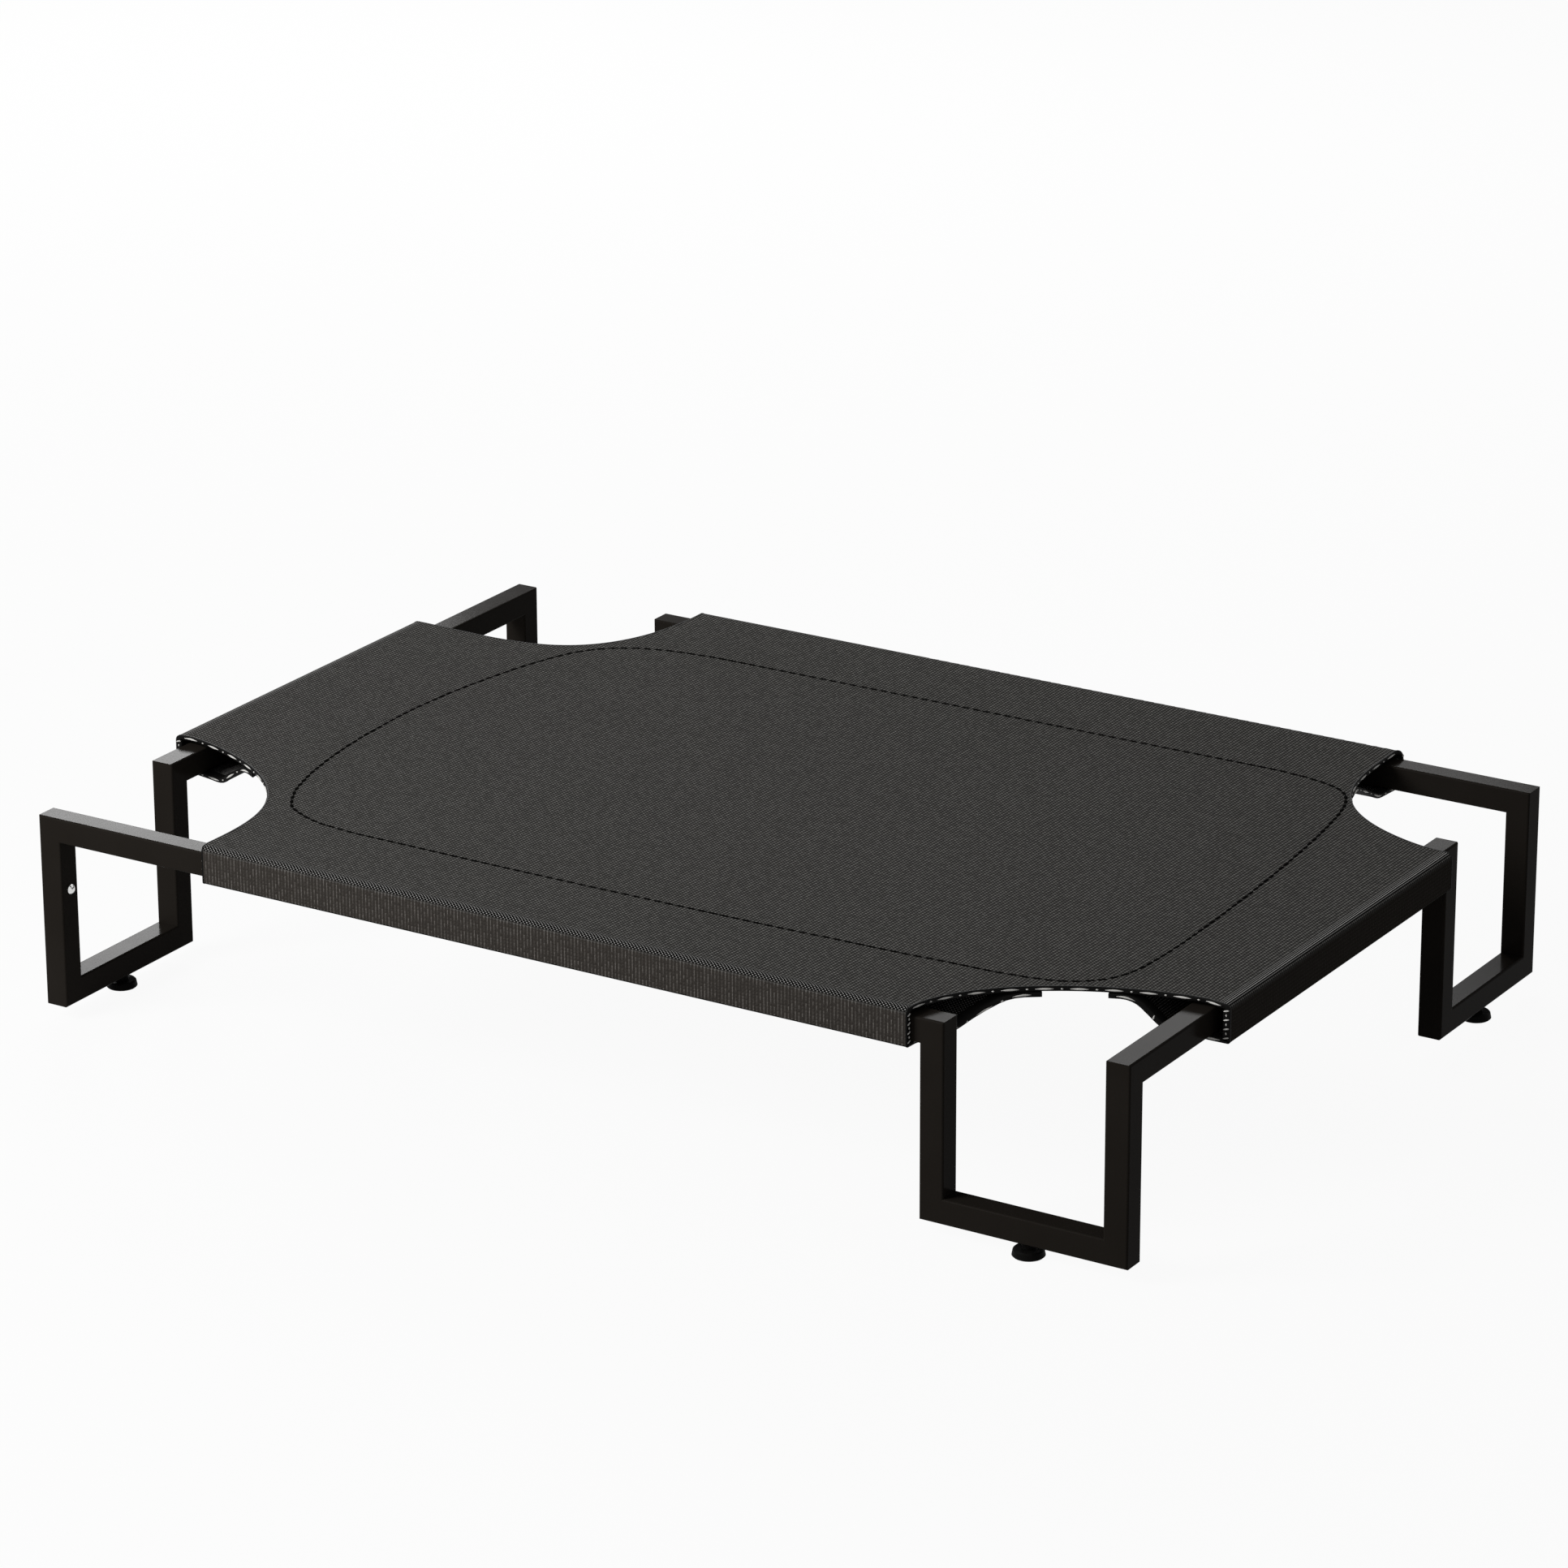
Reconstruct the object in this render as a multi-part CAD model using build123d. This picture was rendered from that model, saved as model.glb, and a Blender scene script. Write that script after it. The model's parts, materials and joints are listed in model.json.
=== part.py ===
"""Raised pet cot: a pinwheel frame of square steel tube with a sleeved mesh sling.

X runs along the long side, Y towards the back and Z up. The origin is on the floor, under the middle.
All sizes are in millimetres.
"""
import os

from build123d import *

# Frame, over the outside of the tubes
FRAME_LENGTH = 1210.0
FRAME_WIDTH = 830.0
RAIL_TOP = 212.0
BAR_BOTTOM = 15.0
SPLIT_HEIGHT = 126.4
LEG_SPAN_X = 215.0
LEG_SPAN_Y = 206.0

# Square tube
TUBE = 25.0
TUBE_WALL = 1.2
TUBE_CORNER = 2.0

# Spigot that joins a leg frame to the drop tube above it
SPIGOT_CLEARANCE = 0.3
SPIGOT_WALL = 1.5
SPIGOT_CORNER = 1.2
SPIGOT_REACH = 40.0

# Spring button that locks the spigot
BUTTON_ABOVE_SPLIT = 9.3
BUTTON_RADIUS = 5.0
BUTTON_CLEARANCE = 0.08
BUTTON_SHANK_OUT = 1.5
BUTTON_DOME = 3.2
BUTTON_FLANGE_RADIUS = 6.5
BUTTON_FLANGE = 1.2

# Leaf spring behind the button
SPRING_STRIP = 0.7
SPRING_WIDTH = 9.0
SPRING_ABOVE_BUTTON = 7.0
SPRING_ARM = 34.0

# Levelling foot
PAD_RADIUS = 15.5
PAD_HEIGHT = 7.5
PAD_TAPER = 1.0
PAD_EDGE = 1.2
NECK_RADIUS = 6.5
STEM_RADIUS = 4.0
STEM_CLEARANCE = 0.05
STEM_SEAT = 3.0
STEM_TOP_GAP = 3.0
STEM_CHAMFER = 0.8
BAR_HOLE_CLEARANCE = 0.5
NUT_ACROSS_FLATS = 13.0
NUT_HEIGHT = 6.5

# Mesh sling
CLOTH = 2.0
SLING_RISE = 5.2
WALL_GAP = 0.3
SLEEVE_DROP = 5.5
ROLL_RADIUS = 7.0
HEEL_RADIUS = 6.0
FLAP_RADIUS = 30.0
SLEEVE_TOP_STRIP = 10.0
FLAP_LEVEL = 48.0
FLAP_FALL = 1.5
FLAP_JOIN = 92.0
SEAM_INSET = 108.0
SEAM_ALLOWANCE = 6.0

# Scooped corners of the sling, from the frame's outer corner: along X, along Y
SCOOPS = {
    "front_left": (203.0, 237.0),
    "front_right": (224.0, 164.0),
    "back_right": (154.0, 219.0),
    "back_left": (224.0, 178.0),
}

# Corners in order round the frame: side of X, side of Y
CORNERS = {
    "front_left": (-1, -1),
    "front_right": (1, -1),
    "back_right": (1, 1),
    "back_left": (-1, 1),
}
ALONG_Y = ("front_left", "back_right")
RAILS = ("front_rail", "right_rail", "back_rail", "left_rail")
SLEEVES = ("front_sleeve", "right_sleeve", "back_sleeve", "left_sleeve")

# Worked out from the sizes above
BORE = TUBE - 2 * TUBE_WALL
SPIGOT = BORE - 2 * SPIGOT_CLEARANCE
SPIGOT_BORE = SPIGOT - 2 * SPIGOT_WALL
BUTTON_HEIGHT = SPLIT_HEIGHT + BUTTON_ABOVE_SPLIT
PANEL_UNDER = RAIL_TOP + SLING_RISE
PANEL_TOP = PANEL_UNDER + CLOTH
UP = Vector(0, 0, 1)


def ring(outer, corner, bore, bore_corner):
    """Cross-section of a square tube with rounded edges."""
    return RectangleRounded(outer, outer, corner) - RectangleRounded(bore, bore, bore_corner)


def tube(start, direction, long_side, length, mitre_end):
    """Square tube from a point on its axis; mitred ends are longest on the long side."""
    section = ring(TUBE, TUBE_CORNER, BORE, max(TUBE_CORNER - TUBE_WALL, 0.1))
    straight = extrude(Plane.YZ * section, amount=length)
    near = Plane(origin=(TUBE / 2, 0, 0), z_dir=(1, 0, 1))
    solid = split(straight, bisect_by=near, keep=Keep.TOP)
    if mitre_end:
        far = Plane(origin=(length - TUBE / 2, 0, 0), z_dir=(-1, 0, 1))
        solid = split(solid, bisect_by=far, keep=Keep.TOP)
    return Plane(origin=start, x_dir=direction, z_dir=long_side) * solid


class Leg:
    """Places and directions of one leg frame, worked out from its corner."""

    def __init__(self, name):
        side_x, side_y = CORNERS[name]
        to_middle_x = Vector(-side_x, 0, 0)
        to_middle_y = Vector(0, -side_y, 0)
        runs_along_y = name in ALONG_Y
        self.along = to_middle_y if runs_along_y else to_middle_x
        self.across = to_middle_x if runs_along_y else to_middle_y
        self.span = LEG_SPAN_Y if runs_along_y else LEG_SPAN_X
        corner_x = side_x * (FRAME_LENGTH - TUBE) / 2
        corner_y = side_y * (FRAME_WIDTH - TUBE) / 2
        self.corner = Vector(corner_x, corner_y, 0)
        self.inner = self.corner + self.along * (self.span - TUBE)
        self.middle = (self.corner + self.inner) * 0.5


LEGS = {name: Leg(name) for name in CORNERS}


def spigot(place):
    """Smaller square tube that stands half in the upright and half in the drop."""
    bore_corner = max(SPIGOT_CORNER - SPIGOT_WALL, 0.3)
    section = ring(SPIGOT, SPIGOT_CORNER, SPIGOT_BORE, bore_corner)
    foot = place + UP * (SPLIT_HEIGHT - SPIGOT_REACH)
    return Location(foot) * extrude(section, amount=2 * SPIGOT_REACH)


def button_plane(leg):
    """Plane on the face of the corner drop that the button comes out of, facing the bed's middle."""
    face = leg.corner + leg.across * (TUBE / 2) + UP * BUTTON_HEIGHT
    return Plane(origin=face, x_dir=UP, z_dir=leg.across)


BUTTON_SEAT = -(TUBE_WALL + SPIGOT_CLEARANCE + SPIGOT_WALL)


def button_hole(leg):
    """Cutter for the hole that the button passes through in the drop and in the spigot."""
    depth = TUBE / 2
    hole = Cylinder(BUTTON_RADIUS + BUTTON_CLEARANCE, 2 * depth)
    return button_plane(leg) * hole


def snap_button(leg):
    """Domed pin with a flange that stops it against the inside of the spigot."""
    back = BUTTON_SEAT - BUTTON_FLANGE
    crown = BUTTON_SHANK_OUT + BUTTON_DOME
    dome_radius = (BUTTON_RADIUS ** 2 + BUTTON_DOME ** 2) / (2 * BUTTON_DOME)
    profile = make_face([
        Line((0, back), (BUTTON_FLANGE_RADIUS, back)),
        Line((BUTTON_FLANGE_RADIUS, back), (BUTTON_FLANGE_RADIUS, BUTTON_SEAT)),
        Line((BUTTON_FLANGE_RADIUS, BUTTON_SEAT), (BUTTON_RADIUS, BUTTON_SEAT)),
        Line((BUTTON_RADIUS, BUTTON_SEAT), (BUTTON_RADIUS, BUTTON_SHANK_OUT)),
        RadiusArc((BUTTON_RADIUS, BUTTON_SHANK_OUT), (0, crown), -dome_radius),
        Line((0, crown), (0, back)),
    ])
    return button_plane(leg) * revolve(Plane.XZ * profile, axis=Axis.Z)


def snap_spring(leg):
    """Leaf spring bent into a U that pushes the button's flange away from the far wall."""
    near = BUTTON_SEAT - BUTTON_FLANGE
    far = BUTTON_SEAT - SPIGOT_BORE
    width = near - far
    inside = width - 2 * SPRING_STRIP
    arms = Rectangle(width, SPRING_ARM) - Rectangle(inside, SPRING_ARM)
    bend = Circle(width / 2) - Circle(inside / 2)
    below = Pos(0, -width / 2) * Rectangle(width, width)
    hairpin = arms + Pos(0, -SPRING_ARM / 2) * (bend & below)
    strip = extrude(hairpin, amount=SPRING_WIDTH / 2, both=True)
    top = BUTTON_HEIGHT + SPRING_ABOVE_BUTTON
    centre = leg.corner + leg.across * (TUBE / 2 + (near + far) / 2) + UP * (top - SPRING_ARM / 2)
    return Plane(origin=centre, x_dir=leg.across, z_dir=leg.across.cross(UP)) * strip


def foot_pad(leg):
    """Round levelling pad with a neck that stops against the bar, bored for its stem."""
    shoulder = PAD_RADIUS - PAD_TAPER
    profile = make_face(Polyline(
        (0, 0),
        (PAD_RADIUS - PAD_EDGE, 0),
        (PAD_RADIUS, PAD_EDGE),
        (shoulder, PAD_HEIGHT - PAD_EDGE),
        (shoulder - PAD_EDGE, PAD_HEIGHT),
        (NECK_RADIUS, PAD_HEIGHT),
        (NECK_RADIUS, BAR_BOTTOM),
        (STEM_RADIUS + STEM_CLEARANCE, BAR_BOTTOM),
        (STEM_RADIUS + STEM_CLEARANCE, STEM_SEAT),
        (0, STEM_SEAT),
        close=True,
    ))
    return Location(leg.middle) * revolve(Plane.XZ * profile, axis=Axis.Z)


def foot_stem(leg):
    """Steel stud that stands in the pad and turns in the nut."""
    top = BAR_BOTTOM + TUBE - TUBE_WALL - STEM_TOP_GAP
    height = top - STEM_SEAT
    stud = Pos(0, 0, STEM_SEAT + height / 2) * Cylinder(STEM_RADIUS, height)
    stud = chamfer(stud.edges().group_by(Axis.Z)[-1], STEM_CHAMFER)
    return Location(leg.middle) * stud


def foot_nut(leg):
    """Hexagon nut welded on the inside of the bar's lower wall."""
    hexagon = RegularPolygon(NUT_ACROSS_FLATS / 2, 6, major_radius=False)
    nut = extrude(hexagon - Circle(STEM_RADIUS + STEM_CLEARANCE), amount=NUT_HEIGHT)
    return Location(leg.middle + UP * (BAR_BOTTOM + TUBE_WALL)) * nut


def foot_bar(leg):
    """Bottom bar of a leg frame, mitred at both ends and drilled for the foot's stem."""
    start = leg.corner - leg.along * (TUBE / 2) + UP * (BAR_BOTTOM + TUBE / 2)
    bar = tube(start, leg.along, -UP, leg.span, mitre_end=True)
    hole = Cylinder(STEM_RADIUS + BAR_HOLE_CLEARANCE, TUBE)
    return bar - Location(leg.middle + UP * BAR_BOTTOM) * hole


def scooped_plan():
    """Plan area that the sling is cut to: wider than the sling, less an ellipse at each of its corners."""
    plan = Rectangle(FRAME_LENGTH + 2 * TUBE, FRAME_WIDTH + 2 * TUBE)
    for name, (side_x, side_y) in CORNERS.items():
        plan -= Pos(side_x * FRAME_LENGTH / 2, side_y * FRAME_WIDTH / 2) * Ellipse(*SCOOPS[name])
    return plan


def ribbon(points, radii, thickness):
    """Face of an even strip whose middle line goes through the points, with rounded turns."""
    points = [Vector(*point) for point in points]
    steps = [(b - a).normalized() for a, b in zip(points, points[1:])]
    sides = [UP.cross(step) for step in steps]
    edges = []
    for offset in (thickness / 2, -thickness / 2):
        corners = [points[0] + sides[0] * offset]
        bends = []
        for k, radius in enumerate(radii):
            lean = sides[k] + sides[k + 1]
            corners.append(points[k + 1] + lean * (offset / (1 + sides[k].dot(sides[k + 1]))))
            turns_left = steps[k].cross(steps[k + 1]).Z > 0
            bends.append(radius - offset if turns_left else radius + offset)
        corners.append(points[-1] + sides[-1] * offset)
        edges.append(FilletPolyline(*corners, radius=bends))
    left, right = edges
    ends = [Line(left @ 1, right @ 1), Line(right @ 0, left @ 0)]
    return make_face(left.edges() + right.edges() + ends)


def sleeping_panel():
    """Flat sheet of the sling between the rolled strips of its sleeves."""
    length = FRAME_LENGTH - 2 * SLEEVE_TOP_STRIP
    width = FRAME_WIDTH - 2 * SLEEVE_TOP_STRIP
    outline = scooped_plan() & Rectangle(length, width)
    return Pos(0, 0, PANEL_UNDER) * extrude(outline, amount=CLOTH)


def sleeve(side):
    """Cloth that rolls over a rail, goes under it and is sewn back beneath the panel."""
    inward = [Vector(0, 1, 0), Vector(-1, 0, 0), Vector(0, -1, 0), Vector(1, 0, 0)][side]
    half_width = (FRAME_LENGTH if inward.X else FRAME_WIDTH) / 2
    half_length = (FRAME_WIDTH if inward.X else FRAME_LENGTH) / 2 - TUBE
    wall = -(WALL_GAP + CLOTH / 2)
    top = PANEL_UNDER + CLOTH / 2
    under = RAIL_TOP - TUBE - SLEEVE_DROP - CLOTH / 2
    sewn = PANEL_UNDER - CLOTH / 2
    path = [
        (SLEEVE_TOP_STRIP, top),
        (wall, top),
        (wall, under),
        (FLAP_LEVEL, under + FLAP_FALL),
        (FLAP_JOIN, sewn),
        (SEAM_INSET + SEAM_ALLOWANCE, sewn),
    ]
    section = ribbon(path, [ROLL_RADIUS, HEEL_RADIUS, FLAP_RADIUS, FLAP_RADIUS], CLOTH)
    frame = Plane(origin=-inward * half_width, x_dir=inward, z_dir=inward.cross(UP))
    loop = extrude(frame * section, amount=half_length, both=True)
    return loop & extrude(scooped_plan(), amount=2 * RAIL_TOP)


def build():
    """Every piece of the object, by the name of its file."""
    pieces = {}
    names = list(CORNERS)
    for k, name in enumerate(names):
        leg = LEGS[name]
        following = LEGS[names[(k + 1) % len(names)]]
        rail_start = leg.corner - leg.across * (TUBE / 2) + UP * (RAIL_TOP - TUBE / 2)
        rail_length = (following.inner - leg.corner).length + TUBE
        pieces[RAILS[k]] = tube(rail_start, leg.across, UP, rail_length, mitre_end=True)
        drop_length = RAIL_TOP - SPLIT_HEIGHT
        corner_top = leg.corner + UP * RAIL_TOP
        inner_top = leg.inner + UP * RAIL_TOP
        corner_drop = tube(corner_top, -UP, -leg.across, drop_length, mitre_end=False)
        pieces[f"{name}_corner_drop"] = corner_drop - button_hole(leg)
        pieces[f"{name}_inner_drop"] = tube(inner_top, -UP, -leg.along, drop_length, mitre_end=False)
        upright_length = SPLIT_HEIGHT - BAR_BOTTOM
        corner_foot = leg.corner + UP * BAR_BOTTOM
        inner_foot = leg.inner + UP * BAR_BOTTOM
        pieces[f"{name}_corner_upright"] = tube(corner_foot, UP, -leg.along, upright_length, mitre_end=False)
        pieces[f"{name}_inner_upright"] = tube(inner_foot, UP, leg.along, upright_length, mitre_end=False)
        pieces[f"{name}_foot_bar"] = foot_bar(leg)
        pieces[f"{name}_corner_spigot"] = spigot(leg.corner) - button_hole(leg)
        pieces[f"{name}_inner_spigot"] = spigot(leg.inner)
        pieces[f"{name}_snap_button"] = snap_button(leg)
        pieces[f"{name}_snap_spring"] = snap_spring(leg)
        pieces[f"{name}_foot_pad"] = foot_pad(leg)
        pieces[f"{name}_foot_stem"] = foot_stem(leg)
        pieces[f"{name}_foot_nut"] = foot_nut(leg)
    pieces["sleeping_panel"] = sleeping_panel()
    for k, name in enumerate(SLEEVES):
        pieces[name] = sleeve(k)
    return pieces


def main():
    os.makedirs("parts", exist_ok=True)
    for name, shape in build().items():
        export_step(shape, f"parts/{name}.step")


main()
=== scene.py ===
"""Looks of the raised pet cot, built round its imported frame.

Sizes are in metres, in the frame's own axes: X along the long side, Y towards the back and Z up.
"""
import json
import math
from collections import namedtuple

import bmesh
import bpy
from mathutils import Matrix, Vector
from mathutils.geometry import delaunay_2d_cdt, interpolate_bezier


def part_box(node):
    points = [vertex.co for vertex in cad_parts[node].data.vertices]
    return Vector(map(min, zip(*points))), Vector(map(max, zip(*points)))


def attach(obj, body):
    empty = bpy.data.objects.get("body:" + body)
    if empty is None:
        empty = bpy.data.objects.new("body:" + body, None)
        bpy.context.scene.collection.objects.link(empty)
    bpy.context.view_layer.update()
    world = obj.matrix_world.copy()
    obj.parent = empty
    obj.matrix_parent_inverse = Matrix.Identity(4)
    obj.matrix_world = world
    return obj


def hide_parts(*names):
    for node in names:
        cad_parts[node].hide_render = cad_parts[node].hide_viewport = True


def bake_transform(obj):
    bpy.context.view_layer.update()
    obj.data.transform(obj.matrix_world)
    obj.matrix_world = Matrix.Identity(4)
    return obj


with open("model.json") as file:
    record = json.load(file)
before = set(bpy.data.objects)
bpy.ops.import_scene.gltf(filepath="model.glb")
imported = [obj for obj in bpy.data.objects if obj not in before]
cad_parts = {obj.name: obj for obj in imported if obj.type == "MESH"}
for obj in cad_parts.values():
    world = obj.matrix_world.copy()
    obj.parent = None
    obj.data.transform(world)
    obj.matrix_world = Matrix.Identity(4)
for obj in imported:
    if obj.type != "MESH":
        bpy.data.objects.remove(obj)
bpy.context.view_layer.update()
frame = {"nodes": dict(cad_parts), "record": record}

# Frame faces that the sling is stretched over
HALF_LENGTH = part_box("right_rail")[1].x
HALF_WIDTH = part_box("back_rail")[1].y
PANEL_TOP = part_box("sleeping_panel")[1].z
LEGS = ("front_left", "front_right", "back_right", "back_left")

# Camera, fitted to the frame's corners
CAMERA_EYE = Vector((3.07205, -4.94346, 2.37455))
CAMERA_AZIMUTH = math.radians(31.945)
CAMERA_ELEVATION = math.radians(20.235)
CAMERA_ROLL = math.radians(-0.225)
CAMERA_LENS = 146.1
CAMERA_FAR = 100
SENSOR = 36.0

# Sling: its thickness, sag and top, and the heights and bends of its sleeves, as the outside of the cloth
CLOTH = 0.0018
SAG = 0.008
TOP_LIFT = 0.0013
SLING_TOP = PANEL_TOP + TOP_LIFT
ROLL_START = 0.006
ROLL_RADIUS = 0.006
SLEEVE_BOTTOM = 0.1828
HEEL_RADIUS = 0.0024
FLAP_LOW = 0.1820
FLAP_UNDER = 0.0101
FLAP_RADIUS = 0.026

# Lift of the flaps' sewn ends away from the corners, and run over which it sets in
SEWN_LIFT = 0.0062
LIFT_RUN = 0.060

# Distances along the cloth past the panel at which the shift of a cut end is full and starts to fade
SHIFT_RUN = 0.015
SHIFT_FADE = 0.050

# Sleeves: reach past the rail, insets of the flap's slope and sewn end, and shift of each cut end
Sleeve = namedtuple("Sleeve", "along_x side reach slope_start slope_end sewn_end low_shift high_shift")
SLEEVES = {
    "front_sleeve": Sleeve(True, -1, 0.0065, 0.0490, 0.0900, 0.1078, 0.0022, 0.0),
    "right_sleeve": Sleeve(False, 1, 0.0181, 0.0477, 0.0765, 0.0974, -0.0033, 0.0),
    "back_sleeve": Sleeve(True, 1, 0.0031, 0.0420, 0.1000, 0.1200, 0.0, -0.0060),
    "left_sleeve": Sleeve(False, -1, 0.0110, 0.0515, 0.0923, 0.1100, -0.0022, 0.0),
}

# Scooped corners: reach of the cut from the frame's corner and power of its curve, along X and Y
Corner = namedtuple("Corner", "side_x side_y reach_x reach_y power_x power_y")
CORNERS = {
    "front_left": Corner(-1, -1, 0.2012, 0.2397, 1.52, 2.99),
    "front_right": Corner(1, -1, 0.2256, 0.1565, 1.77, 1.80),
    "back_right": Corner(1, 1, 0.1579, 0.2329, 1.29, 3.60),
    "back_left": Corner(-1, 1, 0.2368, 0.1808, 4.30, 2.00),
}

# Fineness of the cloth's mesh
GRID = 0.012
ARC_STEP = math.radians(13)
SCOOP_STEPS = 60
SCOOP_SAMPLES = 1200
EDGE_CLEAR = 0.005
SHARP_ANGLE = math.radians(50)
INSIDE_ONLY = 1
MERGE_RANGE = 1e-7
SHORTEST_RUN = 1e-9

# Marks on the cloth's points (the fold, flap and heel marks place painted highlight, light and shade),
# how they grow with its tilt, and how far along it a heel can lie
MARKS = ("fold", "wall", "heel", "flap", "along_rib")
FOLD_FADE = 0.3
FOLD_RISE = 6
FOLD_TILT_ALONG_X = 0.45
FOLD_TILT_ALONG_Y = 0.62
ROLL_MARGIN = 1e-6
WALL_FALL = 2
HEEL_RISE = 2.2
HEEL_FAR = 0.060

# Hem along the scooped edges
HEM_WIDTH = 0.009
HEM_OUT = 0.0018
HEM_EDGE = 0.0048
HEM_WALL = 0.0075
HEM_FLAP = 0.0044
HEM_PROUD = 0.0003
HEM_TOP_BEVEL = 0.00054
HEM_LOW_BEVEL = 0.00072
HEM_SWELL_POWER = 0.7
WALL_FACING = 0.5
RAIL_CLEAR = 0.0004

# Stitches on the hems: bars on a wall, dashes and dots elsewhere
STITCH_PERIOD = 0.033
STITCH_DASH = 0.017
STITCH_DOT = 0.0026
STITCH_WIDTH = 0.0010
STITCH_THREAD = 0.00075
STITCH_PROUD = 0.00015
STITCH_POINTS = 11
BAR_PERIOD = 0.009
BAR_SLANT = 0.0022
BAR_LEVELS = (0.10, 0.3, 0.5, 0.7, 0.90)
WALL_SLOPE = 0.75

# Sides and thinnest share of a thread, and how full it stays towards the ends of a stitch
THREAD_SIDES = 8
THREAD_TIP = 0.2
SOFT_ENDS = 2
BLUNT_ENDS = 4
SQUARE_ENDS = 20

# Black stitches on the panel, and the thin dark line that they lie on, painted shade of the seam's groove
SEAM_PITCH = 0.0121
SEAM_STITCH = 0.0106
SEAM_WIDTH = 0.0018
SEAM_HEIGHT = 0.0006
GROOVE_SHADE_WIDTH = 0.0009
GROOVE_SHADE_HEIGHT = 0.0003
SEAM_STITCH_POINTS = 9
SEAM_CURVE_STEPS = 24

# Seam round the sleeping area, as the points that its curve goes through
SEAM_POINTS = (
    (-0.410, -0.265),
    (-0.391, -0.287),
    (-0.341, -0.306),
    (-0.244, -0.309),
    (0.000, -0.308),
    (0.191, -0.305),
    (0.362, -0.300),
    (0.428, -0.296),
    (0.472, -0.284),
    (0.502, -0.253),
    (0.512, -0.195),
    (0.509, -0.060),
    (0.496, 0.111),
    (0.480, 0.227),
    (0.466, 0.269),
    (0.445, 0.290),
    (0.397, 0.303),
    (0.322, 0.307),
    (-0.220, 0.307),
    (-0.330, 0.300),
    (-0.390, 0.276),
    (-0.422, 0.235),
    (-0.446, 0.150),
    (-0.460, 0.040),
    (-0.458, -0.070),
    (-0.446, -0.160),
    (-0.427, -0.230),
)

# Studio: light all round, floor and its share of pure white, and place, size and power of the soft boxes
SKY_LIGHT = 0.18
FLOOR_SIZE = 40
FLOOR_GLOW = 0.94
LIGHT_TARGET = (0, 0, 0.2)
SOFT_BOXES = {
    "key_box": ((-1.8, -2.7, 2.2), (1.6, 1.6), 108),
    "back_left_box": ((-3.45, 3.3, 1.9), (1.1, 0.8), 75),
    "back_box": ((-1.6, 3.7, 2.1), (1.2, 1.0), 36),
}

# Weave of the cloth: pitch of its ribs and yarns, and of the dots and stripes of painted highlight on its
# rolled edges
RIB_PITCH = 0.00374
YARN_PITCH = 0.00346
DOT_PITCH = 0.0031
STRIPE_PITCH = 0.00234


def new_object(name, data):
    """Object in the scene for a mesh, a light or a camera."""
    made = bpy.data.objects.new(name, data)
    bpy.context.scene.collection.objects.link(made)
    return made


def mesh_from(bm, name):
    """Mesh of a bmesh, with smooth faces."""
    mesh = bpy.data.meshes.new(name)
    bm.to_mesh(mesh)
    bm.free()
    mesh.shade_smooth()
    return mesh


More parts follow.
